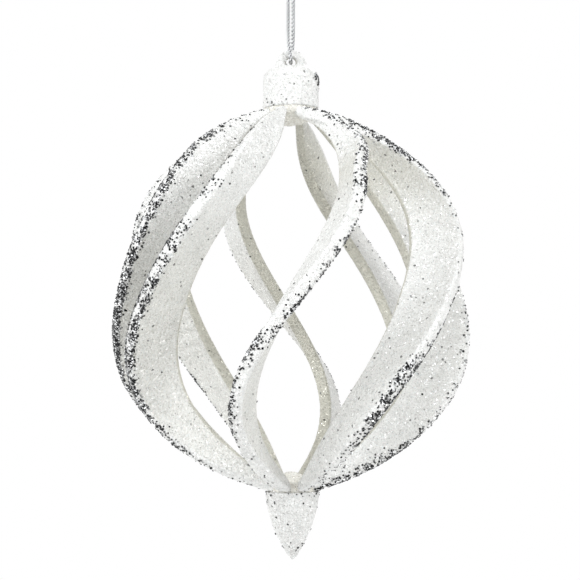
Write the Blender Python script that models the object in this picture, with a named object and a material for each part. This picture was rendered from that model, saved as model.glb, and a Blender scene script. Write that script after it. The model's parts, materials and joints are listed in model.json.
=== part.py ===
"""Icicle hanging ornament: an open ball of spiral ribs between a cap with an eyelet and an icicle tip,
hung from a doubled cord that is tied in a knot below its hanging loop.

Metres, +Z up. The origin is the inside top of the hanging loop, which the ornament hangs from.
"""
import math

import bmesh
import bpy
from mathutils import Matrix, Vector

GAP = 0.0003                # clearance that touching pieces keep

# Cord, knot and hanging loop
CORD_R = 0.0006             # radius of one strand of the cord
STRAND_GAP = 0.0001         # between the two strands where they hang side by side
LOOP_H = 0.0145             # inside top of the loop to the centre of the knot
LOOP_W = 0.0080             # widest inside width of the loop
KNOT_W = 0.0040             # the knot's size across
KNOT_H = 0.0044             # the knot's height
KNOT_TO_EYELET = 0.0200     # centre of the knot to the centre of the eyelet

# Cap with its lug
CAP_R = 0.0070
CAP_SHOULDER = 0.0033       # rounding of the cap's upper edge
CAP_H = 0.0105              # shoulder top to the underside
CAP_FOOT = 0.0003           # bevel round the underside
LUG_W = 0.0076
LUG_T = 0.0022
LUG_TOP = 0.0031            # eyelet's centre to the top of the lug
LUG_FOOT = 0.0013           # eyelet's centre to the top of the cap
EYELET_R = 0.00125
EYELET_FLARE = 0.0004       # how much the eyelet widens at each face of the lug

# Cage of ribs
RIB_COUNT = 8
BALL_R = 0.0448             # outer radius of the ribs at the ball's middle
CORE_R = 0.0318             # inner radius of the ribs at the ball's middle
BALL_H = 0.0955             # cap's underside to the top of the tip
RIB_CLOSE = 0.00045         # how far past the ball's ends the ribs' curves would close
OUTER_POWER = 2.8           # a larger power and a smaller rounding make a squarer ball
OUTER_ROUND_TOP = 0.77
OUTER_ROUND_BOTTOM = 0.70
INNER_POWER = 2.6
INNER_ROUND_TOP = 0.88
INNER_ROUND_BOTTOM = 0.95
RIB_T = 0.0032
RIB_EDGE = 0.0006           # bevel along a rib's four edges
RIB_MIN_W = 0.0020          # a rib's least width, at its ends
RIB_ROOM = 0.0003           # further out for the ribs' lean at their ends
RIB_STEPS = 48
HUB_R = 0.0044
HUB_H = 0.0060
HUB_NOSE = 0.0025           # bevel at the inner end of a hub

# Headings of the ribs, in degrees anticlockwise from +X seen from above
RIB_START = 277.3
RIB_OFFSETS = (-4, 6, 5, -7, -1, 5, 15, -12)     # each rib's own offset from an even spacing, at mid-height
TWIST = 50.5
TWIST_SHIFT = -6.5
TWIST_EASE = -33.5
SWEEP = -2.8
SWEEP_TILT = 0.5
SWEEP_BEND = 12.0
SWEEP_CURL = 19.0
RIM_LEADS = (18, 5, 0, 0, 0, 0, 0, 0)            # how far each rib's outer edge runs ahead below the cap
LEAD_START = 0.56           # heights, from -1 at the tip to 1 at the cap, at which that lead starts,
LEAD_FULL = 0.86            # is at its most,
LEAD_END = 0.985            # and has gone again

# Icicle tip
TIP_R = 0.0067
TIP_H = 0.0170
TIP_END_R = 0.0016          # rounding of the point
TIP_POWER = 1.9
TIP_STEPS = 14

HANG_TILT = -0.19           # degrees about +Y that bring the ornament's weight under the eyelet

# Heights that follow from the sizes above
KNOT_Z = -LOOP_H
EYELET_Z = KNOT_Z - KNOT_TO_EYELET
CAP_TOP_Z = EYELET_Z - LUG_FOOT
CAP_BASE_Z = CAP_TOP_Z - CAP_H
BALL_Z = CAP_BASE_Z - BALL_H / 2
TIP_TOP_Z = CAP_BASE_Z - BALL_H
POLE_H = BALL_H / 2 + RIB_CLOSE

# Where the ribs' inner edges end: clear of each other and of the hub
RIB_SEAT_R = max((RIB_T + GAP) / (2 * math.sin(math.pi / RIB_COUNT)), HUB_R + GAP) + RIB_ROOM


def clear_scene():
    for old in list(bpy.data.objects):
        bpy.data.objects.remove(old, do_unlink=True)


def material(name, color, roughness, metallic=0.0):
    mat = bpy.data.materials.new(name)
    mat.use_nodes = True
    shader = mat.node_tree.nodes["Principled BSDF"]
    shader.inputs["Base Color"].default_value = (*color, 1.0)
    shader.inputs["Roughness"].default_value = roughness
    shader.inputs["Metallic"].default_value = metallic
    return mat


def add_object(name, mesh_or_curve, mat, parent=None, location=(0, 0, 0)):
    obj = bpy.data.objects.new(name, mesh_or_curve)
    bpy.context.scene.collection.objects.link(obj)
    obj.data.materials.append(mat)
    obj.parent = parent
    obj.location = location
    return obj


def add_pivot(name, location, tilt=0.0):
    """An empty on a joint's axis, which carries the pieces that turn about it."""
    pivot = bpy.data.objects.new(name, None)
    bpy.context.scene.collection.objects.link(pivot)
    pivot.location = location
    pivot.rotation_euler = (0, math.radians(tilt), 0)
    return pivot


def shade(mesh, angle=40):
    mesh.shade_smooth()
    mesh.set_sharp_from_angle(angle=math.radians(angle))


def finish_mesh(bm, name):
    bmesh.ops.recalc_face_normals(bm, faces=bm.faces)
    mesh = bpy.data.meshes.new(name)
    bm.to_mesh(mesh)
    bm.free()
    shade(mesh)
    return mesh


def turned(name, profile, steps=48):
    """A closed turned solid; the profile runs from the axis, out and back to the axis, as (radius, height)."""
    bm = bmesh.new()
    verts = [bm.verts.new((r, 0, z)) for r, z in profile]
    edges = [bm.edges.new(pair) for pair in zip(verts, verts[1:])]
    bmesh.ops.spin(bm, geom=verts + edges, cent=(0, 0, 0), axis=(0, 0, 1), angle=math.tau, steps=steps,
                   use_merge=True)
    bmesh.ops.remove_doubles(bm, verts=bm.verts, dist=0.00001)
    return finish_mesh(bm, name)


def arc(cx, cz, radius, start, end, steps):
    """Points of an arc in the profile plane, from start to end in degrees."""
    points = []
    for i in range(steps + 1):
        a = math.radians(start + (end - start) * i / steps)
        points.append((cx + radius * math.cos(a), cz + radius * math.sin(a)))
    return points


def smooth_route(route, step):
    """Points at about one step from each other on a smooth curve through the route's points."""
    ends = [2 * route[0] - route[1]] + route + [2 * route[-1] - route[-2]]
    fine = []
    for p0, p1, p2, p3 in zip(ends, ends[1:], ends[2:], ends[3:]):
        for i in range(40):
            t = i / 40
            fine.append(0.5 * (2 * p1 + (p2 - p0) * t + (2 * p0 - 5 * p1 + 4 * p2 - p3) * t ** 2
                               + (3 * p1 - p0 - 3 * p2 + p3) * t ** 3))
    fine.append(route[-1])
    total = sum((b - a).length for a, b in zip(fine, fine[1:]))
    count = max(2, round(total / step))
    points = [fine[0]]
    walked = 0.0
    for a, b in zip(fine, fine[1:]):
        walked += (b - a).length
        if walked >= total * len(points) / count and len(points) < count:
            points.append(b)
    points.append(fine[-1])
    return points


def cord(name, route, step, mat, parent=None):
    """A round cord along a route, in world coordinates."""
    curve = bpy.data.curves.new(name, "CURVE")
    curve.dimensions = "3D"
    curve.bevel_depth = CORD_R
    curve.bevel_resolution = 2
    curve.use_fill_caps = True
    points = smooth_route([Vector(p) for p in route], step)
    spline = curve.splines.new("POLY")
    spline.points.add(len(points) - 1)
    base = parent.location if parent else Vector((0, 0, 0))
    for spot, point in zip(spline.points, points):
        spot.co = (*(point - base), 1.0)
    return add_object(name, curve, mat, parent)


def hanging_loop(mat):
    """The loop above the knot, open for a hook; its two ends go down into the knot."""
    side = LOOP_W / 2 + CORD_R
    foot = CORD_R + STRAND_GAP / 2
    start = KNOT_Z + KNOT_H / 2 + GAP
    right = [
        (foot, 0, start),
        (foot * 1.3, 0, start + 0.0018),
        (side * 0.62, 0, -LOOP_H * 0.52),
        (side * 0.97, 0, -LOOP_H * 0.30),
        (side * 0.80, 0, -LOOP_H * 0.10),
    ]
    left = [(-x, y, z) for x, y, z in reversed(right)]
    return cord("hanging_loop", right + [(0, 0, CORD_R)] + left, 2.2 * CORD_R, mat)


def doubled_cord(mat, parent):
    """One cord from the knot, through the eyelet from front to back, and up to the knot again."""
    half = CORD_R + STRAND_GAP / 2
    out = LUG_T / 2 + 1.4 * GAP + CORD_R
    top = KNOT_Z - KNOT_H / 2 - GAP
    front = [
        (-half, 0, top),
        (-half, 0, EYELET_Z + 0.0110),
        (-half, -0.0002, EYELET_Z + 0.0082),
        (-half * 0.8, -out * 0.78, EYELET_Z + 0.0048),
        (-half * 0.3, -out, EYELET_Z + 0.0021),
        (0, -out * 0.74, EYELET_Z + 0.0005),
    ]
    back = [(-x, -y, z) for x, y, z in reversed(front)]
    middle = [(0, 0, EYELET_Z + 0.0002)]
    return cord("cord", front + middle + back, 1.3 * CORD_R, mat, parent)


def knot(mat):
    """The overhand knot's outer shape, flat where the loop and the cord enter it."""
    bm = bmesh.new()
    bmesh.ops.create_uvsphere(bm, u_segments=20, v_segments=12, radius=KNOT_H / 2)
    squash = Matrix.Diagonal((KNOT_W / KNOT_H, KNOT_W / KNOT_H, 1.0, 1.0))
    bmesh.ops.transform(bm, matrix=squash, verts=bm.verts)
    return add_object("knot", finish_mesh(bm, "knot"), mat, location=(0, 0, KNOT_Z))


def cap_body():
    rise = arc(CAP_R - CAP_SHOULDER, -CAP_SHOULDER, CAP_SHOULDER, 90, 0, 8)
    foot = [(CAP_R, -CAP_H + CAP_FOOT), (CAP_R - CAP_FOOT, -CAP_H)]
    return turned("cap", [(0, 0)] + rise + foot + [(0, -CAP_H)])


def lug_outline():
    """The lug in its own plane, from inside the cap up to its round top, about the eyelet's centre."""
    round_r = LUG_W / 2
    round_z = LUG_TOP - round_r
    root = -LUG_FOOT - CAP_SHOULDER / 2
    return [(-round_r, root), (round_r, root)] + arc(0, round_z, round_r, 0, 180, 20)


def cap(mat, parent):
    """The domed cap with its flat lug, which the eyelet goes through."""
    body = add_object("cap", cap_body(), mat, parent, (0, 0, CAP_TOP_Z - EYELET_Z))

    bm = bmesh.new()
    rim = [bm.verts.new((x, -LUG_T / 2, z)) for x, z in lug_outline()]
    face = bm.faces.new(rim)
    moved = bmesh.ops.extrude_face_region(bm, geom=[face])
    far = [v for v in moved["geom"] if isinstance(v, bmesh.types.BMVert)]
    bmesh.ops.translate(bm, vec=(0, LUG_T, 0), verts=far)
    lug = add_object("lug_shape", finish_mesh(bm, "lug_shape"), mat, parent)

    edge = LUG_T / 2
    over = EYELET_FLARE
    wide = EYELET_R + EYELET_FLARE
    profile = [(0, -edge - over), (wide + over, -edge - over), (wide, -edge), (EYELET_R, -edge + EYELET_FLARE)]
    profile += [(r, -z) for r, z in reversed(profile)]
    hole_mesh = turned("eyelet_cutter", profile, 32)
    hole_mesh.transform(Matrix.Rotation(math.radians(90), 4, "X"))
    hole = add_object("eyelet_cutter", hole_mesh, mat, parent)

    for cutter, operation in ((lug, "UNION"), (hole, "DIFFERENCE")):
        cutter.hide_render = True
        cutter.display_type = "WIRE"
        boolean = body.modifiers.new(operation.title(), "BOOLEAN")
        boolean.operation = operation
        boolean.object = cutter
        boolean.solver = "EXACT"
    return body


def rib_outer_radius(s):
    rounding = OUTER_ROUND_TOP if s > 0 else OUTER_ROUND_BOTTOM
    outer = BALL_R * (1 - abs(s) ** OUTER_POWER) ** rounding
    return max(outer, RIB_SEAT_R + RIB_MIN_W)


def rib_inner_radius(s):
    rounding = INNER_ROUND_TOP if s > 0 else INNER_ROUND_BOTTOM
    inner = CORE_R * (1 - abs(s) ** INNER_POWER) ** rounding
    return max(inner, RIB_SEAT_R)


def rib_turn(index, s):
    """A rib's heading in degrees at the height s, which runs from -1 at the tip to 1 at the cap."""
    spread = 360 / RIB_COUNT * index + RIB_OFFSETS[index] * (1 - s * s)
    return RIB_START + spread + TWIST * s + TWIST_SHIFT * s ** 2 + TWIST_EASE * s ** 3


def rib_sweep(s):
    """How far the inner edge is turned ahead of the outer one, in degrees; none at the ends."""
    return (SWEEP + SWEEP_TILT * s + SWEEP_BEND * s ** 2 + SWEEP_CURL * s ** 3) * (1 - s ** 8)


def eased(value, start, end):
    """Rises smoothly from 0 at the start to 1 at the end."""
    t = min(max((value - start) / (end - start), 0), 1)
    return t * t * (3 - 2 * t)


def rim_lead(index, s):
    return RIM_LEADS[index] * eased(s, LEAD_START, LEAD_FULL) * (1 - eased(s, LEAD_FULL, LEAD_END))


def rib_edges(index, z):
    """The middle of the rib's outer and inner edges at the height z above the ball's middle."""
    s = z / POLE_H
    heading = rib_turn(index, s)
    outer_turn = math.radians(heading + rim_lead(index, s))
    inner_turn = math.radians(heading + rib_sweep(s))
    outer = rib_outer_radius(s)
    inner = rib_inner_radius(s)
    return (Vector((outer * math.cos(outer_turn), outer * math.sin(outer_turn), z)),
            Vector((inner * math.cos(inner_turn), inner * math.sin(inner_turn), z)))


def rib_section(index, z):
    """The eight corners of the rib's bevelled section at the height z."""
    step = 0.0002
    outer, inner = rib_edges(index, z)
    outer_up, inner_up = rib_edges(index, z + step)
    outer_down, inner_down = rib_edges(index, z - step)
    across = (outer - inner).normalized()
    width = (outer - inner).length
    side_out = across.cross(outer_up - outer_down).normalized()
    side_in = across.cross(inner_up - inner_down).normalized()
    flat = RIB_T / 2
    corner = RIB_T / 2 - RIB_EDGE
    section = []
    for along, half in ((0, corner), (RIB_EDGE, flat), (width - RIB_EDGE, flat), (width, corner)):
        share = along / width
        section.append(inner + across * along + (side_in * (1 - share) + side_out * share) * half)
    for along, half in ((width, corner), (width - RIB_EDGE, flat), (RIB_EDGE, flat), (0, corner)):
        share = along / width
        section.append(inner + across * along - (side_in * (1 - share) + side_out * share) * half)
    return section


def rib(index, mat, parent):
    """One blade of the cage, cut level where it meets the cap and the tip."""
    end = BALL_H / 2 - GAP
    sections = []
    for i in range(RIB_STEPS + 1):
        z = -end * math.cos(math.pi * i / RIB_STEPS)
        sections.append(rib_section(index, z))
    past = Vector((0, 0, RIB_T / 2))
    sections.insert(0, [p - past for p in sections[0]])
    sections.append([p + past for p in sections[-1]])

    bm = bmesh.new()
    rings = [[bm.verts.new(p) for p in section] for section in sections]
    for low, high in zip(rings, rings[1:]):
        for i in range(len(low)):
            j = (i + 1) % len(low)
            bm.faces.new((low[i], low[j], high[j], high[i]))
    bm.faces.new(rings[0])
    bm.faces.new(rings[-1])
    for way in (-1, 1):
        everything = bm.verts[:] + bm.edges[:] + bm.faces[:]
        cut = bmesh.ops.bisect_plane(bm, geom=everything, dist=0.000001, plane_co=(0, 0, way * end),
                                     plane_no=(0, 0, way), clear_outer=True)
        border = [e for e in cut["geom_cut"] if isinstance(e, bmesh.types.BMEdge)]
        bmesh.ops.contextual_create(bm, geom=border)
    name = f"rib_{index + 1}"
    return add_object(name, finish_mesh(bm, name), mat, parent, (0, 0, BALL_Z - EYELET_Z))


def hub(name, way, mat, parent):
    """The core that the rib ends meet; way is 1 under the cap and -1 over the tip."""
    seat = BALL_H / 2 - GAP
    nose = BALL_H / 2 - HUB_H
    outline = [(0, nose), (HUB_R - HUB_NOSE, nose), (HUB_R, nose + HUB_NOSE), (HUB_R, seat), (0, seat)]
    profile = [(r, way * z) for r, z in outline]
    return add_object(name, turned(name, profile, 40), mat, parent, (0, 0, BALL_Z - EYELET_Z))


def icicle_tip(mat, parent):
    """The point below the ball, full at its top and rounded at its end."""
    profile = [(0, 0)]
    for i in range(TIP_STEPS + 1):
        t = i / TIP_STEPS
        reach = TIP_END_R * math.sqrt(max(0.0, 1 - t)) + (TIP_R - TIP_END_R) * (1 - t ** TIP_POWER)
        profile.append((reach, -TIP_H * t))
    return add_object("icicle_tip", turned("icicle_tip", profile, 48), mat, parent, (0, 0, TIP_TOP_Z - EYELET_Z))


def build():
    clear_scene()
    glitter = material("white_glitter", (0.86, 0.87, 0.85), 0.45)
    core = material("hub_plastic", (0.80, 0.79, 0.74), 0.5)
    braid = material("silver_cord", (0.72, 0.74, 0.78), 0.35, 0.8)

    hanging_loop(braid)
    knot(braid)
    turning = add_pivot("cord_pivot", (0, 0, KNOT_Z))
    doubled_cord(braid, turning)
    swinging = add_pivot("ornament_pivot", (0, 0, EYELET_Z), HANG_TILT)
    cap(glitter, swinging)
    for index in range(RIB_COUNT):
        rib(index, glitter, swinging)
    hub("top_hub", 1, core, swinging)
    hub("bottom_hub", -1, core, swinging)
    icicle_tip(glitter, swinging)


build()
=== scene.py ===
"""Icicle hanging ornament: a glittered cage of eight spiral ribs between a cap with an eyelet and an
icicle tip, with coarse silver flakes along the ribs' outer rims, hung from a doubled braided cord."""
import json
import math
import random

import bpy
import numpy as np
from mathutils import Matrix, Vector, noise


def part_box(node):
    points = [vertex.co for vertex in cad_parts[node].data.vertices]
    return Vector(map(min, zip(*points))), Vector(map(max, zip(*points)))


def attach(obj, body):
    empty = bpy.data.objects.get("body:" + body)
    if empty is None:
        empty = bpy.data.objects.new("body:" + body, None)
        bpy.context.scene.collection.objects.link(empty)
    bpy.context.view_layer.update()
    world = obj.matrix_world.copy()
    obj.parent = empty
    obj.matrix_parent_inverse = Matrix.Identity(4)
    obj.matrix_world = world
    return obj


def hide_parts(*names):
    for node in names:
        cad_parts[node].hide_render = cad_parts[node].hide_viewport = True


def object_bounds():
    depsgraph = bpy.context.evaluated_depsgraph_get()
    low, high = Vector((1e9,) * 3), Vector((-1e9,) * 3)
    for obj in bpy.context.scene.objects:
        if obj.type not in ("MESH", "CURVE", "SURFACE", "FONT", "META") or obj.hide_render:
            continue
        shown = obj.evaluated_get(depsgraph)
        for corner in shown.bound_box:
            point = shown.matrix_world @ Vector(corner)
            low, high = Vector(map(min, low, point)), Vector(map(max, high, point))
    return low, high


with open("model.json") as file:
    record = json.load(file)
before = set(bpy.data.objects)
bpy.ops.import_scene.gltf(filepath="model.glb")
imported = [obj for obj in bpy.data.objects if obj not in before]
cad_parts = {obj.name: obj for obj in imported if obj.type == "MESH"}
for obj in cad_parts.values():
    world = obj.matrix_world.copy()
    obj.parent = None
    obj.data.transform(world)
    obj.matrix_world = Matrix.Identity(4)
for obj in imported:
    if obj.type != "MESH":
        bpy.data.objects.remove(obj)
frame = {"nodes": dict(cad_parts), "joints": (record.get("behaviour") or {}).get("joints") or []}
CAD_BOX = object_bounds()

GAP = 0.0003                    # clearance that the frame's pieces keep
JOINTS = {joint["name"]: joint for joint in frame["joints"]}
KNOT = Vector(JOINTS["cord_twist"]["pos_m"])
EYELET = Vector(JOINTS["eyelet_swing"]["pos_m"])
RIBS = [f"rib_{number}" for number in range(1, 9)]

RIB_BOXES = [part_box(rib) for rib in RIBS]
CAGE_LOW = min(low.z for low, high in RIB_BOXES)
CAGE_HIGH = max(high.z for low, high in RIB_BOXES)
BALL = Vector((0, 0, (CAGE_LOW + CAGE_HIGH) / 2))
HALF_CAGE = (CAGE_HIGH - CAGE_LOW) / 2


# ---------------------------------------------------------------- camera

CAMERA_DISTANCE = 0.383
CAMERA_ELEVATION = math.radians(-3.0)
CAMERA_LENS = 95.1
CAMERA_SENSOR = 36
CAMERA_CLIP = 0.01
AIM = Vector((-0.0002, 0, 0.0022))      # from the ball's middle


def camera():
    data = bpy.data.cameras.new("view")
    data.lens = CAMERA_LENS
    data.sensor_width = CAMERA_SENSOR
    data.clip_start = CAMERA_CLIP
    view = bpy.data.objects.new("view", data)
    bpy.context.scene.collection.objects.link(view)
    back = Vector((0, -math.cos(CAMERA_ELEVATION), math.sin(CAMERA_ELEVATION)))
    view.location = BALL + back * CAMERA_DISTANCE
    view.rotation_euler = (BALL + AIM - view.location).to_track_quat("-Z", "Y").to_euler()
    bpy.context.scene.camera = view


camera()


# ---------------------------------------------------------------- making and shaping

def link(name, mesh):
    obj = bpy.data.objects.new(name, mesh)
    bpy.context.scene.collection.objects.link(obj)
    return obj


def pick(obj):
    """Makes the object the only selected one."""
    bpy.ops.object.select_all(action="DESELECT")
    obj.select_set(True)
    bpy.context.view_layer.objects.active = obj


MERGE_DISTANCE = 0.000002


def tidy_mesh(obj):
    """Merges doubled points."""
    pick(obj)
    bpy.ops.object.mode_set(mode="EDIT")
    bpy.ops.mesh.select_all(action="SELECT")
    bpy.ops.mesh.remove_doubles(threshold=MERGE_DISTANCE)
    bpy.ops.object.mode_set(mode="OBJECT")


def apply_modifiers(obj):
    pick(obj)
    for modifier in list(obj.modifiers):
        bpy.ops.object.modifier_apply(modifier=modifier.name)


def copy_of(node, name):
    """A merged copy of a frame node's mesh, to be finished as the shown piece."""
    obj = link(name, frame["nodes"][node].data.copy())
    obj.data.materials.clear()
    tidy_mesh(obj)
    return obj


def grain_texture(name, size):
    texture = bpy.data.textures.new(name, "CLOUDS")
    texture.noise_scale = size
    texture.noise_depth = 1
    return texture


GRAIN = grain_texture("glitter_grain", 0.00045)
LUMPS = grain_texture("core_lumps", 0.0022)


def displace(obj, texture, strength):
    modifier = obj.modifiers.new("Grain", "DISPLACE")
    modifier.texture = texture
    modifier.texture_coords = "LOCAL"
    modifier.strength = strength
    modifier.mid_level = 0.5


def coat(obj, voxel, rounds, grain):
    """Rounds a moulded piece's edges and roughens it, as the glue and the glitter on it do."""
    remesh = obj.modifiers.new("Skin", "REMESH")
    remesh.mode = "VOXEL"
    remesh.voxel_size = voxel
    smooth = obj.modifiers.new("Round", "SMOOTH")
    smooth.factor = 0.5
    smooth.iterations = rounds
    displace(obj, GRAIN, grain)
    apply_modifiers(obj)
    pick(obj)
    bpy.ops.object.shade_smooth()


def finish(obj, body, finish_material, node=None):
    """Gives a piece its material and its body, and hides the node that it stands for."""
    obj.data.materials.clear()
    obj.data.materials.append(finish_material)
    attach(obj, body)
    if node:
        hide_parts(node)


# ---------------------------------------------------------------- shader expressions

class Field:
    """A number that varies over a surface. Arithmetic on it adds the Math nodes that work it out."""

    def __init__(self, surface, socket):
        self.surface = surface
        self.socket = socket

    def math(self, operation, *values):
        return self.surface.node("ShaderNodeMath", {"operation": operation},
                                 dict(enumerate(values)))

    def __add__(self, other):
        return self.math("ADD", self, other)

    def __sub__(self, other):
        return self.math("SUBTRACT", self, other)

    def __rsub__(self, other):
        return self.math("SUBTRACT", other, self)

    def __mul__(self, other):
        return self.math("MULTIPLY", self, other)

    def __lt__(self, other):
        return self.math("LESS_THAN", self, other)

    def __gt__(self, other):
        return self.math("GREATER_THAN", self, other)

    __radd__ = __add__
    __rmul__ = __mul__


class Surface:
    """A material that is built node by node."""

    def __init__(self, name):
        self.material = bpy.data.materials.new(name)
        self.material.use_nodes = True
        self.tree = self.material.node_tree
        self.shader = self.tree.nodes["Principled BSDF"]

    def node(self, kind, settings=None, values=None, output=0):
        made = self.tree.nodes.new(kind)
        for key, value in (settings or {}).items():
            setattr(made, key, value)
        for key, value in (values or {}).items():
            self.fill(made.inputs[key], value)
        return Field(self, made.outputs[output])

    def other(self, field, output):
        """Another output of the node that a field comes from."""
        return Field(self, field.socket.node.outputs[output])

    def fill(self, socket, value):
        if isinstance(value, Field):
            self.tree.links.new(value.socket, socket)
        else:
            socket.default_value = value

    def set(self, **values):
        for key, value in values.items():
            self.fill(self.shader.inputs[key.replace("_", " ")], value)

    def mix(self, factor, first, second, blend="MIX"):
        made = self.tree.nodes.new("ShaderNodeMix")
        made.data_type = "RGBA"
        made.blend_type = blend
        self.fill(made.inputs[0], factor)
        self.fill(made.inputs[6], first)
        self.fill(made.inputs[7], second)
        return Field(self, made.outputs[2])

    def vector(self, operation, first, second, scale=1.0):
        made = self.tree.nodes.new("ShaderNodeVectorMath")
        made.operation = operation
        self.fill(made.inputs[0], first)
        if operation == "SCALE":
            self.fill(made.inputs["Scale"], scale)
        elif operation != "NORMALIZE":
            self.fill(made.inputs[1], second)
        return Field(self, made.outputs[0])

    def place(self):
        return self.node("ShaderNodeTexCoord", output="Object")

    def cells(self, place, size):
        """Random cells of about this size; the field is the distance and output Color is random."""
        return self.node("ShaderNodeTexVoronoi", {"feature": "F1"}, {"Vector": place, "Scale": 1 / size},
                         "Distance")

    def noise(self, place, size, detail=2.0):
        return self.node("ShaderNodeTexNoise", None,
                         {"Vector": place, "Scale": 1 / size, "Detail": detail}, 0)

    def facing_in(self):
        """1 where a surface faces the ball's axis and 0 where it faces away from it."""
        flat = self.vector("MULTIPLY", self.place(), (1, 1, 0))
        normal = self.node("ShaderNodeTexCoord", output="Normal")
        facing = self.node("ShaderNodeVectorMath", {"operation": "DOT_PRODUCT"},
                           {0: self.vector("NORMALIZE", flat, None), 1: normal}, "Value")
        return self.node("ShaderNodeMapRange", {"interpolation_type": "SMOOTHSTEP"},
                         {"Value": facing, "From Min": 0.20, "From Max": -0.50, "To Min": 0.0, "To Max": 1.0})

    def parts(self, color):
        split = self.node("ShaderNodeSeparateColor", None, {"Color": color}, 0)
        return [split, self.other(split, 1), self.other(split, 2)]

    def tilted_normal(self, random_color, amount):
        """The surface's normal, tilted at random from grain to grain."""
        geometry = self.node("ShaderNodeNewGeometry", output="Normal")
        centred = self.vector("SUBTRACT", random_color, (0.5, 0.5, 0.5))
        tilt = self.vector("SCALE", centred, None, amount)
        return self.vector("NORMALIZE", self.vector("ADD", geometry, tilt), None)


INNER_PAINTED_SHADE = (0.60, 0.58, 0.48)      # beige painted shade on the sides that face the ball's axis, where the cage's inside lies in shade
# how strongly that painted shade darkens the inner sides
INNER_PAINTED_SHADE_SHARE = 0.75


FINE_GRAIN = 0.00021
COARSE_GRAIN = 0.00048
GLITTER_PATCH = 0.006           # about how wide the lighter and darker patches are
GRAIN_TILT = 1.25               # how far a grain leans from the surface
PINK_GLINT = (0.95, 0.80, 0.85, 1)
BLUE_GLINT = (0.74, 0.88, 0.95, 1)
GREY_GRAIN = (0.34, 0.34, 0.33, 1)
BLACK_GRAIN = (0.10, 0.10, 0.10, 1)


def glitter_finish(name, pale, shade, dark_share):
    """Fine clear glitter over white plastic: grains that differ in tone and lie at their own angles."""
    made = Surface(name)
    place = made.place()
    fine = made.cells(place, FINE_GRAIN)
    fine_color = made.other(fine, "Color")
    tone, chance, hue = made.parts(fine_color)
    coarse = made.cells(place, COARSE_GRAIN)
    coarse_color = made.other(coarse, "Color")
    coarse_tone, coarse_chance, coarse_hue = made.parts(coarse_color)
    patch = made.noise(place, GLITTER_PATCH, 3.0)

    grey = tone * 0.42 + coarse_tone * 0.34 + patch * 0.5 - 0.18
    color = made.mix(grey, (*pale, 1), (*shade, 1))
    color = made.mix((hue > 0.95) * 0.30, color, PINK_GLINT)
    color = made.mix((hue < 0.05) * 0.30, color, BLUE_GLINT)
    color = made.mix((chance > 1 - dark_share) * 0.55, color, GREY_GRAIN)
    color = made.mix((coarse_chance > 1 - dark_share * 0.10) * 0.85, color, BLACK_GRAIN)
    tilt = made.vector("ADD", made.vector("SCALE", fine_color, None, 0.6),
                       made.vector("SCALE", coarse_color, None, 0.4))
    # Painted shade: the sides that face the ball's axis are darkened towards beige, as the cage's inside lies
    # in shade.
    color = made.mix(made.facing_in() * INNER_PAINTED_SHADE_SHARE, color, (*INNER_PAINTED_SHADE, 1), "MULTIPLY")
    made.set(Base_Color=color, Roughness=0.18 + chance * 0.4, Metallic=(coarse_hue < 0.10) * 0.85,
             Normal=made.tilted_normal(tilt, GRAIN_TILT))
    made.set(Specular_IOR_Level=0.5)
    return made.material


def flake_finish():
    """Silver flakes, each with its own tone; the black and grey tones are painted dark reflections."""
    made = Surface("silver_flakes")
    tone = made.node("ShaderNodeAttribute", {"attribute_name": "tone"}, None, "Fac")
    fine = made.cells(made.place(), 0.0004)
    color = made.mix(tone, (0.004, 0.004, 0.005, 1), (0.93, 0.94, 0.95, 1))
    made.set(Base_Color=color, Roughness=0.30 + fine * 0.1)
    made.set(Metallic=0.9, Specular_IOR_Level=0.2)
    return made.material


def cord_finish():
    """Silver thread, wound from fine metal film; the core and the threads that wind one way have painted
    shade.
    """
    made = Surface("silver_braid")
    uv = made.node("ShaderNodeTexCoord", output="UV")
    split = made.node("ShaderNodeSeparateXYZ", None, {0: uv}, 0)
    along, around = split, made.other(split, 1)
    film = (along * 26.0 + around * 2.0).math("SINE", (along * 26.0 + around * 2.0) * math.tau)
    tone = made.node("ShaderNodeAttribute", {"attribute_name": "tone"}, None, "Fac")
    glint = made.noise(made.place(), 0.0003)
    light = made.mix(glint, (0.72, 0.73, 0.75, 1), (1.0, 1.0, 1.0, 1))
    # Painted shade: the tone darkens the core and the threads that wind one way.
    color = made.mix(tone, (0.02, 0.02, 0.025, 1), light)
    color = made.mix((film < -0.8) * 0.4, color, (0.10, 0.10, 0.12, 1))
    bump = made.node("ShaderNodeBump", None, {"Height": film, "Strength": 0.3, "Distance": 0.00003})
    made.set(Base_Color=color, Roughness=0.30 + glint * 0.2, Normal=bump)
    made.set(Metallic=0.8)
    return made.material


GLITTER = glitter_finish("white_glitter_coat", (0.97, 0.972, 0.968), (0.66, 0.665, 0.66), 0.04)
# A darker copy of the white glitter for the icicle tip: painted shade at the ornament's bottom.
TIP_GLITTER_PAINTED_SHADE = glitter_finish("tip_glitter_painted_shade_coat", (0.91, 0.912, 0.908), (0.58, 0.582, 0.575), 0.05)
# The cores' glitter is darker and beige: painted shade in the notch where the rib ends meet.
CORE_GLITTER_PAINTED_SHADE = glitter_finish("core_glitter_painted_shade_coat", (0.93, 0.92, 0.88), (0.64, 0.62, 0.55), 0.04)
FLAKES = flake_finish()
BRAID = cord_finish()


# ---------------------------------------------------------------- cord, loop and knot

CORD_R = 0.0006
STRAND_GAP = 0.0001
KNOT_CORE = 0.0010              # how far from the knot's middle the strands come out from under its turns
KNOT_TURN = 0.00050             # size of the knot's turns
LOOP_H = 0.0145
LOOP_W = 0.0080
LUG_T = 0.0022

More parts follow.
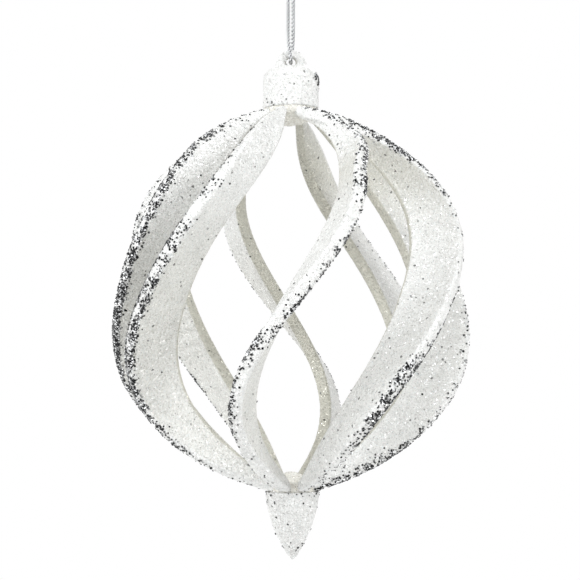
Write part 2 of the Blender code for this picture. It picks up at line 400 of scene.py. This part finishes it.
YARNS = 3                       # threads that wind each way
BRAID_PITCH = 0.0030            # length of cord in which a thread goes once round
YARN_HALF_W = 0.00020
YARN_HALF_T = 0.00010
YARN_SIDES = 6
YARN_BED = 2.6                  # how deep the threads' middles lie, in half thicknesses of a thread
YARN_LIFT = 1.05                # how far a thread rises over those it crosses, in half thicknesses
CORE_SIDES = 8
CORE_SHARE = 0.86               # radius of the braid's core, as a share of that of the threads' middles
# Tones of the braid: the core's black and the darker threads that wind one way are painted shade between and
# under the threads.
CORE_PAINTED_SHADE_TONE = 0.0
LIGHT_TONE = 1.0
THREAD_PAINTED_SHADE_TONE = 0.55
UV_STEP = 0.01                  # how far the pattern runs along the cord from one ring to the next
CURVE_STEPS = 60
CORD_STEP = 0.00014
KNOT_STEP = 0.00012
KNOT_STEPS = 120


def smooth_route(route, step):
    """Points at about one step from each other on a smooth curve through the route's points."""
    route = [Vector(p) for p in route]
    ends = [2 * route[0] - route[1]] + route + [2 * route[-1] - route[-2]]
    fine = []
    for p0, p1, p2, p3 in zip(ends, ends[1:], ends[2:], ends[3:]):
        for i in range(CURVE_STEPS):
            t = i / CURVE_STEPS
            fine.append(0.5 * (2 * p1 + (p2 - p0) * t + (2 * p0 - 5 * p1 + 4 * p2 - p3) * t ** 2
                               + (3 * p1 - p0 - 3 * p2 + p3) * t ** 3))
    fine.append(route[-1])
    total = sum((b - a).length for a, b in zip(fine, fine[1:]))
    count = max(2, round(total / step))
    points = [fine[0]]
    walked = 0.0
    for a, b in zip(fine, fine[1:]):
        walked += (b - a).length
        if walked >= total * len(points) / count and len(points) < count:
            points.append(b)
    points.append(fine[-1])
    return points


def path_length(points):
    return sum((b - a).length for a, b in zip(points, points[1:]))


def frames_along(points):
    """Place, side and up vectors along a path, turned as little as it allows."""
    side = None
    frames = []
    for i, point in enumerate(points):
        way = (points[min(i + 1, len(points) - 1)] - points[max(i - 1, 0)]).normalized()
        if side is None:
            side = way.orthogonal().normalized()
        side = (side - way * side.dot(way)).normalized()
        frames.append((point, side, way.cross(side)))
    return frames


def braided(name, paths):
    """A round braided cord along each path, as one mesh: threads wound both ways that pass over and
    under each other round a core."""
    verts, faces, uvs, tones = [], [], [], []

    def tube(rings, tone, uv_step):
        first = len(verts)
        count = len(rings[0])
        for ring in rings:
            verts.extend(ring)
        for i in range(len(rings) - 1):
            for j in range(count):
                k = (j + 1) % count
                low, high = first + i * count, first + (i + 1) * count
                faces.append((low + j, low + k, high + k, high + j))
                uvs.append(((i * uv_step, j / count), (i * uv_step, (j + 1) / count),
                            ((i + 1) * uv_step, (j + 1) / count), ((i + 1) * uv_step, j / count)))
                tones.append(tone)
        for ring_start, turn in ((first, -1), (first + (len(rings) - 1) * count, 1)):
            ring = [ring_start + j for j in range(count)][::turn]
            faces.append(tuple(ring))
            uvs.append(tuple((0.0, j / count) for j in range(count)))
            tones.append(tone)

    for path in paths:
        frames = frames_along(path)
        step = path_length(path) / (len(path) - 1)
        middle_r = CORD_R - YARN_BED * YARN_HALF_T
        core = []
        for point, side, up in frames:
            core.append([point + (side * math.cos(a) + up * math.sin(a)) * (middle_r * CORE_SHARE)
                         for a in (math.tau * j / CORE_SIDES for j in range(CORE_SIDES))])
        tube(core, CORE_PAINTED_SHADE_TONE, UV_STEP)
        for way in (1, -1):
            for yarn in range(YARNS):
                rings = []
                for i, (point, side, up) in enumerate(frames):
                    turn = math.tau * i * step / BRAID_PITCH
                    angle = way * turn + math.tau * yarn / YARNS
                    lift = way * YARN_HALF_T * YARN_LIFT * math.cos(YARNS * turn)
                    out = side * math.cos(angle) + up * math.sin(angle)
                    across = side * -math.sin(angle) + up * math.cos(angle)
                    centre = point + out * (middle_r + lift)
                    ring = []
                    for j in range(YARN_SIDES):
                        a = math.tau * j / YARN_SIDES
                        ring.append(centre + across * (math.cos(a) * YARN_HALF_W)
                                    + out * (math.sin(a) * YARN_HALF_T))
                    rings.append(ring)
                tube(rings, LIGHT_TONE if way > 0 else THREAD_PAINTED_SHADE_TONE, UV_STEP)
    mesh = bpy.data.meshes.new(name)
    mesh.from_pydata([tuple(v) for v in verts], [], faces)
    layer = mesh.uv_layers.new(name="Thread")
    for face, corners in zip(mesh.polygons, uvs):
        for loop, uv in zip(face.loop_indices, corners):
            layer.data[loop].uv = uv
    shades = mesh.attributes.new("tone", "FLOAT", "FACE")
    for item, tone in zip(shades.data, tones):
        item.value = tone
    obj = link(name, mesh)
    pick(obj)
    bpy.ops.object.mode_set(mode="EDIT")
    bpy.ops.mesh.select_all(action="SELECT")
    bpy.ops.mesh.normals_make_consistent(inside=False)
    bpy.ops.object.mode_set(mode="OBJECT")
    bpy.ops.object.shade_smooth()
    return obj


def cord_route():
    """One cord from the knot, through the eyelet from front to back, and up to the knot again."""
    half = CORD_R + STRAND_GAP / 2
    out = LUG_T / 2 + 1.4 * GAP + CORD_R
    front = [
        (-half, 0, KNOT.z - KNOT_CORE),
        (-half, 0, EYELET.z + 0.0110),
        (-half, -0.0002, EYELET.z + 0.0082),
        (-half * 0.8, -out * 0.78, EYELET.z + 0.0048),
        (-half * 0.3, -out, EYELET.z + 0.0021),
        (0, -out * 0.74, EYELET.z + 0.0005),
    ]
    return front + [(0, 0, EYELET.z + 0.0002)] + [(-x, -y, z) for x, y, z in reversed(front)]


def loop_route():
    side = LOOP_W / 2 + CORD_R
    foot = CORD_R + STRAND_GAP / 2
    start = KNOT.z + KNOT_CORE
    right = [
        (foot, 0, start),
        (foot * 1.15, 0, start + 0.0022),
        (side * 0.62, 0, -LOOP_H * 0.52),
        (side * 0.97, 0, -LOOP_H * 0.30),
        (side * 0.80, 0, -LOOP_H * 0.10),
    ]
    return right + [(0, 0, CORD_R)] + [(-x, y, z) for x, y, z in reversed(right)]


def knot_paths():
    """The overhand knot's turns and its two short cut ends."""
    turns = []
    for i in range(KNOT_STEPS + 1):
        t = math.tau * i / KNOT_STEPS
        turns.append(KNOT + Vector((KNOT_TURN * (math.sin(t) + 2 * math.sin(2 * t)),
                                    -KNOT_TURN * 1.5 * math.sin(3 * t),
                                    KNOT_TURN * 1.1 * (math.cos(t) - 2 * math.cos(2 * t)))))
    ends = []
    for way in (1, -1):
        ends.append(smooth_route([
            KNOT + Vector((way * 0.0006, 0, 0.0002)),
            KNOT + Vector((way * 0.0019, -0.0005, 0.0003)),
            KNOT + Vector((way * 0.0031, -0.0009, -0.0006)),
            KNOT + Vector((way * 0.0038, -0.0011, -0.0022)),
        ], KNOT_STEP))
    return [turns, *ends]


def hang_cord():
    strand = smooth_route(cord_route(), CORD_STEP)
    cord = braided("hanging_cord", [strand])
    finish(cord, "cord", BRAID, "cord")

    ring = smooth_route(loop_route(), CORD_STEP)
    loop = braided("cord_loop", [ring])
    finish(loop, "hanger", BRAID, "hanging_loop")

    knot = braided("cord_knot", knot_paths())
    finish(knot, "hanger", BRAID, "knot")

    path_length(strand)
    max(0.03, path_length(ring))


hang_cord()


# ---------------------------------------------------------------- cap, ribs, cores and tip

# Outline of the core that the ribs run into, as (radius, depth below the cap or height above the tip)
UPPER_CORE = [(0.0066, -0.00045), (0.0069, 0.0004), (0.0066, 0.0013), (0.0056, 0.0022), (0.0041, 0.0030),
              (0.0024, 0.0035), (0.0009, 0.0037)]
LOWER_CORE = [(0.0063, -0.00045), (0.0064, 0.0004), (0.0056, 0.0015), (0.0041, 0.0027), (0.0025, 0.0038),
              (0.0009, 0.0044)]
CORE_EDGES = 40
CORE_LUMPS = 0.0007

# How each kind of moulded piece is coated: (voxel size, rounds of smoothing, depth of the grain)
RIB_COAT = (0.00026, 5, 0.00013)
CAP_COAT = (0.00018, 6, 0.00012)
TIP_COAT = (0.00018, 4, 0.00014)
CORE_COAT = (0.00022, 3, 0.00020)


def core(name, node, outline, way):
    """A rounded core, extruded ring by ring from its seat; way is -1 where it points down."""
    bpy.ops.object.select_all(action="DESELECT")
    bpy.ops.mesh.primitive_circle_add(vertices=CORE_EDGES, radius=outline[0][0], fill_type="NGON",
                                      location=(0, 0, 0))
    obj = bpy.context.object
    obj.name = name
    bpy.ops.object.mode_set(mode="EDIT")
    bpy.ops.mesh.select_all(action="SELECT")
    for (r0, z0), (r1, z1) in zip(outline, outline[1:]):
        bpy.ops.mesh.extrude_region_move(TRANSFORM_OT_translate={"value": (0, 0, way * (z1 - z0))})
        bpy.ops.transform.resize(value=(r1 / r0, r1 / r0, 1))
    bpy.ops.mesh.select_all(action="SELECT")
    bpy.ops.mesh.normals_make_consistent(inside=False)
    bpy.ops.object.mode_set(mode="OBJECT")
    low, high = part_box(node)
    seat = Vector(((low.x + high.x) / 2, (low.y + high.y) / 2, high.z if way < 0 else low.z))
    obj.data.transform(Matrix.Translation(seat + Vector((0, 0, way * outline[0][1]))))
    return obj


def shape_pieces():
    """The moulded pieces with their glitter coat; returns them by node name."""
    made = {}
    for rib in RIBS:
        made[rib] = copy_of(rib, f"{rib}_coated")
        coat(made[rib], *RIB_COAT)
    made["cap"] = copy_of("cap", "cap_coated")
    coat(made["cap"], *CAP_COAT)
    made["icicle_tip"] = copy_of("icicle_tip", "icicle_tip_coated")
    coat(made["icicle_tip"], *TIP_COAT)
    for node, piece in made.items():
        finish(piece, "ornament", TIP_GLITTER_PAINTED_SHADE if node == "icicle_tip" else GLITTER, node)
    for node, outline, way in (("top_hub", UPPER_CORE, -1), ("bottom_hub", LOWER_CORE, 1)):
        made[node] = core(node.replace("hub", "core"), node, outline, way)
        displace(made[node], LUMPS, CORE_LUMPS)
        coat(made[node], *CORE_COAT)
        finish(made[node], "ornament", CORE_GLITTER_PAINTED_SHADE, node)
    return made


PIECES = shape_pieces()


# ---------------------------------------------------------------- silver flakes

FLAKE_R = 0.00025
FLAKE_T = 0.00004
# Flakes on each rib's rim, by the height from -1 at the tip to 1 at the cap: (height, flakes per square
# millimetre, side, and where it isn't 1, spill). Side 1 keeps them to the rim's anticlockwise edge seen from
# above, -1 to its other edge. Spill is how much further than usual they spread down the rib's sides.
RIM_FLAKES = {
    "rib_1": [(-1, 2.0, -0.6), (-0.86, 1.2, -0.6), (-0.78, 2.6, -0.7), (-0.72, 0.8, -0.8), (-0.66, 5.0, -0.8),
              (-0.56, 6.0, -0.8), (-0.48, 1.5, -0.9), (-0.38, 1.6, -0.9), (-0.32, 4.0, -0.9),
              (-0.25, 8.0, -0.6),
              (-0.19, 2.0, 0.2), (-0.14, 0.6, 0.8), (-0.09, 5.0, 0.9), (-0.02, 1.8, 0.9), (0.08, 1.6, 0.9),
              (0.18, 2.0, 0.9), (0.30, 0.9, 0.9), (0.42, 0.5, 0.8), (0.52, 9.0, 0.4), (0.60, 5.0, 0.5),
              (0.75, 7.0, 0.5), (0.88, 14.0, 0.3), (0.96, 20.0, 0), (1, 14.0, 0)],
    "rib_2": [(-1, 5.0, 0.5), (-0.85, 5.0, 0.6), (-0.72, 8.0, 0.4), (-0.60, 20.0, 0.3), (-0.45, 15.0, 0.3),
              (-0.30, 7.0, 0.4), (-0.18, 1.8, 0.8), (0.0, 0.5, 0.6), (0.3, 0.3, 0.3), (0.5, 0.8, 0),
              (0.66, 6.0, 0), (0.75, 20.0, 0, 2), (1, 22.0, 0, 2)],
    "rib_3": [(-1, 20.0, 0, 3), (-0.93, 26.0, 0, 4), (-0.82, 22.0, 0, 3), (-0.72, 3.0, 0), (-0.4, 1.0, 0),
              (0.0, 0.8, 0), (0.5, 1.0, 0), (1, 2.0, 0)],
    "rib_4": [(-1, 3.0, 0), (-0.5, 1.2, 0), (0.2, 0.8, 0), (0.5, 1.5, 0), (0.7, 4.0, 0), (1, 2.0, 0)],
    "rib_5": [(-1, 2.0, 0), (-0.6, 2.5, 0), (-0.3, 1.0, 0), (0.2, 1.5, 0), (0.6, 0.8, 0), (1, 2.0, 0)],
    "rib_6": [(-1, 3.0, 0), (-0.6, 2.0, 0), (-0.42, 5.0, 0), (-0.3, 1.5, 0), (0.2, 0.8, 0), (0.7, 2.5, 0),
              (1, 3.0, 0)],
    "rib_7": [(-1, 3.0, 0), (-0.75, 6.0, 0), (-0.5, 12.0, 0), (-0.15, 14.0, 0), (0.1, 10.0, 0), (0.4, 8.0, 0),
              (0.62, 9.0, 0, 1.5), (0.8, 14.0, 0, 2), (0.93, 12.0, 0, 2), (1, 6.0, 0)],
    "rib_8": [(-1, 4.0, 0), (-0.8, 6.0, 0), (-0.55, 11.0, 0), (-0.3, 10.0, 0), (-0.1, 7.0, 0),
              (0.08, 5.0, -0.2),
              (0.3, 4.2, -0.3), (0.42, 1.4, -0.6), (0.5, 4.0, -0.2), (0.60, 2.0, -0.9), (0.72, 1.2, -0.9),
              (0.9, 0.3, -0.5), (1, 1.0, 0)],
}
RIM_HALF_W = 0.0016             # half the width of a rim
RIM_FADE = 0.0005               # how fast the flakes thin out down a rib's sides
CLUMP = 0.0016                  # about the distance between clumps of flakes
CLUMPING = 1.3                  # how much denser a clump is than the gaps, as an exponent
STRAY = 0.008                   # stray flakes per square millimetre
RIM_DEPTH = 0.0006              # how far in from its outermost points a rim is taken to reach
RIM_BANDS = 110                 # bands of height in which the rim is looked for
PER_SQUARE_METRE = 1e6          # square millimetres in a square metre
FLAKES_PAINTED_BLACK = 0.64             # share of the flakes painted nearly black, as a painted dark reflection on silver
FLAKES_PAINTED_DIM = 0.82              # share of the flakes painted nearly black or grey as dark reflections; the rest are bright


def flake_shape():
    """One six-sided flake, slightly domed, with its edge bevelled thin."""
    bpy.ops.object.select_all(action="DESELECT")
    bpy.ops.mesh.primitive_cylinder_add(vertices=6, radius=FLAKE_R, depth=FLAKE_T, location=(0, 0, 0))
    obj = bpy.context.object
    bpy.ops.object.mode_set(mode="EDIT")
    bpy.ops.mesh.select_all(action="DESELECT")
    bpy.ops.object.mode_set(mode="OBJECT")
    for face in obj.data.polygons:
        face.select = face.normal.z > 0.9
    bpy.ops.object.mode_set(mode="EDIT")
    bpy.ops.mesh.inset(thickness=FLAKE_R * 0.25, depth=FLAKE_T * 0.5)
    bpy.ops.object.mode_set(mode="OBJECT")
    verts = [v.co.copy() for v in obj.data.vertices]
    faces = [tuple(face.vertices) for face in obj.data.polygons]
    bpy.data.objects.remove(obj)
    return verts, faces


FLAKE_VERTS, FLAKE_FACES = flake_shape()


def surface_of(piece):
    """Centres, normals and areas of a piece's faces."""
    faces = piece.data.polygons
    centres = np.zeros(len(faces) * 3)
    normals = np.zeros(len(faces) * 3)
    areas = np.zeros(len(faces))
    faces.foreach_get("center", centres)
    faces.foreach_get("normal", normals)
    faces.foreach_get("area", areas)
    return centres.reshape(-1, 3), normals.reshape(-1, 3), areas


def rim_density(piece, stops):
    """Flakes per square metre on each face of a rib: most along the two edges of its outer rim."""
    centres, normals, areas = surface_of(piece)
    radius = np.hypot(centres[:, 0], centres[:, 1])
    height = (centres[:, 2] - BALL.z) / HALF_CAGE
    bands = RIM_BANDS
    band = np.clip(((height + 1) / 2 * bands).astype(int), 0, bands - 1)
    rim = np.zeros(bands)
    np.maximum.at(rim, band, radius)
    depth = rim[band] - radius
    on_rim = depth < RIM_DEPTH
    middle = np.zeros((bands, 2))
    np.add.at(middle, band[on_rim], centres[on_rim, :2] * areas[on_rim, None])
    away = middle / np.maximum(np.hypot(middle[:, 0], middle[:, 1]), 1e-12)[:, None]
    toward = away[band]
    offset = (toward[:, 0] * centres[:, 1] - toward[:, 1] * centres[:, 0]) / RIM_HALF_W
    along = np.interp(height, [stop[0] for stop in stops], [stop[1] for stop in stops])
    side = np.interp(height, [stop[0] for stop in stops], [stop[2] for stop in stops])
    edge = 0.30 + 1.0 * np.clip(np.abs(offset), 0, 1.2) ** 2
    one_side = np.clip(1 - np.abs(side) + np.abs(side) * (0.5 + offset * np.sign(side) * 1.2), 0, 1.6)
    spill = np.interp(height, [stop[0] for stop in stops],
                      [stop[3] if len(stop) > 3 else 1 for stop in stops])
    across = np.exp(-(np.maximum(depth - RIM_DEPTH, 0) / (RIM_FADE * spill)) ** 1.3)
    return (along * edge * one_side * across + STRAY) * PER_SQUARE_METRE


def cap_density(piece):
    """Flakes on the cap's shoulder, mostly on one side, with a few low on the other side."""
    centres, normals, areas = surface_of(piece)
    low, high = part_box("cap")
    down = (high.z - centres[:, 2]) / (high.z - low.z)
    shoulder = np.exp(-((down - 0.46) / 0.13) ** 2) * np.clip((normals[:, 0] - 0.76) / 0.15, 0, 1)
    foot = np.exp(-((down - 0.95) / 0.05) ** 2) * np.clip(-normals[:, 1] - normals[:, 0] - 0.6, 0, 1)
    back = np.exp(-((down - 0.80) / 0.10) ** 2) * np.clip(normals[:, 1] - 0.3, 0, 1)
    return (shoulder * 9.0 + foot * 0.9 + back * 0.7 + STRAY * 2) * PER_SQUARE_METRE


def tip_density(piece):
    """Flakes on the icicle tip: a few below the ribs and near the point."""
    centres, normals, areas = surface_of(piece)
    low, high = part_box("icicle_tip")
    down = (high.z - centres[:, 2]) / (high.z - low.z)
    below_ribs = np.exp(-(down / 0.12) ** 2) * 0.5
    near_point = np.exp(-((down - 0.9) / 0.2) ** 2) * 0.25
    return (below_ribs + near_point + 0.05) * PER_SQUARE_METRE


def scatter(name, piece, density, seed):
    """Flakes on a piece, each at its own angle, size and tone, as one mesh."""
    pick_from = random.Random(seed)
    centres, normals, areas = surface_of(piece)
    verts, faces, tones = [], [], []
    expected = density * areas
    for index in np.nonzero(expected > 0)[0]:
        at = Vector(centres[index])
        share = float(expected[index]) * math.exp(CLUMPING * 1.6 * noise.noise(at / CLUMP))
        if pick_from.random() >= share:
            continue
        out = Vector(normals[index])
        lean = Vector([pick_from.gauss(0, 0.33) for _ in range(3)])
        turn = Matrix.Rotation(pick_from.uniform(0, math.tau), 3, "Z")
        stand = (out + lean).normalized().to_track_quat("Z", "Y").to_matrix() @ turn
        size = pick_from.uniform(0.65, 1.25)
        at = at + out * pick_from.uniform(0.00002, 0.00014)
        first = len(verts)
        verts.extend(at + stand @ (v * size) for v in FLAKE_VERTS)
        faces.extend(tuple(first + i for i in face) for face in FLAKE_FACES)
        # Painted reflection: the black and grey tones stand in for the dark that silver flakes reflect at
        # their angle.
        draw = pick_from.random()
        if draw < FLAKES_PAINTED_BLACK:
            tone = pick_from.uniform(0.0, 0.06)
        elif draw < FLAKES_PAINTED_DIM:
            tone = pick_from.uniform(0.15, 0.45)
        else:
            tone = pick_from.uniform(0.8, 1.0)
        tones.extend([tone] * len(FLAKE_FACES))
    mesh = bpy.data.meshes.new(name)
    mesh.from_pydata([tuple(v) for v in verts], [], faces)
    shades = mesh.attributes.new("tone", "FLOAT", "FACE")
    shades.data.foreach_set("value", tones)
    flakes = link(name, mesh)
    finish(flakes, "ornament", FLAKES)


for number, rib in enumerate(RIBS):
    scatter(f"{rib}_flakes", PIECES[rib], rim_density(PIECES[rib], RIM_FLAKES[rib]), 100 + number)
scatter("cap_flakes", PIECES["cap"], cap_density(PIECES["cap"]), 200)
scatter("tip_flakes", PIECES["icicle_tip"], tip_density(PIECES["icicle_tip"]), 201)


# ---------------------------------------------------------------- floor, lamps and world

FLOOR_DROP = 0.10
FLOOR_R = 0.62
FLOOR_EDGES = 96
FLOOR_FADE = (0.30, 0.95)       # where the glow starts and ends, as shares of the radius
FLOOR_GLOW = (0.36, 1.0)        # how brightly the floor shows white at its middle and at its rim
AMBIENT = 0.58
AMBIENT_TINT = (1.0, 0.985, 0.93, 1)
LAMP_TINT = (0.96, 0.98, 1.0)
# Name, place from the ball's middle, diameter and power
LAMPS = [
    ("front", (-0.10, -0.72, 0.66), 0.35, 3.1),
    ("left", (-0.80, -0.40, 0.35), 0.35, 3.5),
    ("right", (0.78, -0.50, 0.40), 0.35, 3.2),
    ("back", (0.10, 0.80, 0.50), 0.40, 3.2),
]


class Backdrop(Surface):
    """The world, built node by node in the same way as a material."""

    def __init__(self, name):
        self.world = bpy.data.worlds.new(name)
        self.world.use_nodes = True
        self.tree = self.world.node_tree
        self.shader = self.tree.nodes["Background"]


def looked_at(made):
    """1 for the camera, mirrored and refracted rays, and 0 for those that light the object."""
    rays = made.node("ShaderNodeLightPath", output="Is Camera Ray")
    seen = rays.math("MAXIMUM", rays, made.other(rays, "Is Glossy Ray"))
    return seen.math("MAXIMUM", seen, made.other(rays, "Is Transmission Ray"))


def pale_floor():
    """A pale floor that keeps the shadow, fades to white at its rim and shows from above only."""
    made = Surface("pale_floor")
    made.set(Base_Color=(0.82, 0.82, 0.82, 1), Roughness=0.9)
    seen = looked_at(made)
    reach = made.node("ShaderNodeVectorMath", {"operation": "LENGTH"}, {0: made.place()}, "Value")
    fade = made.node("ShaderNodeMapRange", {"interpolation_type": "SMOOTHSTEP"},
                     {"Value": reach,
                      "From Min": FLOOR_R * FLOOR_FADE[0], "From Max": FLOOR_R * FLOOR_FADE[1],
                      "To Min": FLOOR_GLOW[0], "To Max": FLOOR_GLOW[1]})
    made.set(Emission_Color=made.mix(seen * fade, (0, 0, 0, 1), (1, 1, 1, 1)), Emission_Strength=1.0)
    under = made.node("ShaderNodeNewGeometry", output="Backfacing")
    clear = made.node("ShaderNodeBsdfTransparent")
    solid = Field(made, made.shader.outputs[0])
    both = made.node("ShaderNodeMixShader", None, {0: under, 1: solid, 2: clear})
    made.tree.links.new(both.socket, made.tree.nodes["Material Output"].inputs["Surface"])
    return made.material


def stage():
    low = CAD_BOX[0]
    bpy.ops.object.select_all(action="DESELECT")
    bpy.ops.mesh.primitive_circle_add(vertices=FLOOR_EDGES, radius=FLOOR_R, fill_type="NGON",
                                      location=(0, 0, low.z - FLOOR_DROP))
    floor = bpy.context.object
    floor.name = "floor"
    floor.data.materials.append(pale_floor())

    backdrop = Backdrop("white_studio")
    seen = looked_at(backdrop)
    level = backdrop.node("ShaderNodeMapRange", None, {"Value": seen, "To Min": AMBIENT, "To Max": 1.0})
    backdrop.set(Color=backdrop.mix(seen, AMBIENT_TINT, (1, 1, 1, 1)), Strength=level)
    bpy.context.scene.world = backdrop.world

    for name, place, size, power in LAMPS:
        data = bpy.data.lights.new(name, "AREA")
        data.shape = "DISK"
        data.size = size
        data.energy = power
        data.color = LAMP_TINT
        lamp = bpy.data.objects.new(name, data)
        bpy.context.scene.collection.objects.link(lamp)
        lamp.location = BALL + Vector(place)
        lamp.rotation_euler = (-Vector(place)).to_track_quat("-Z", "Y").to_euler()


stage()

bpy.context.scene.view_settings.view_transform = "Standard"
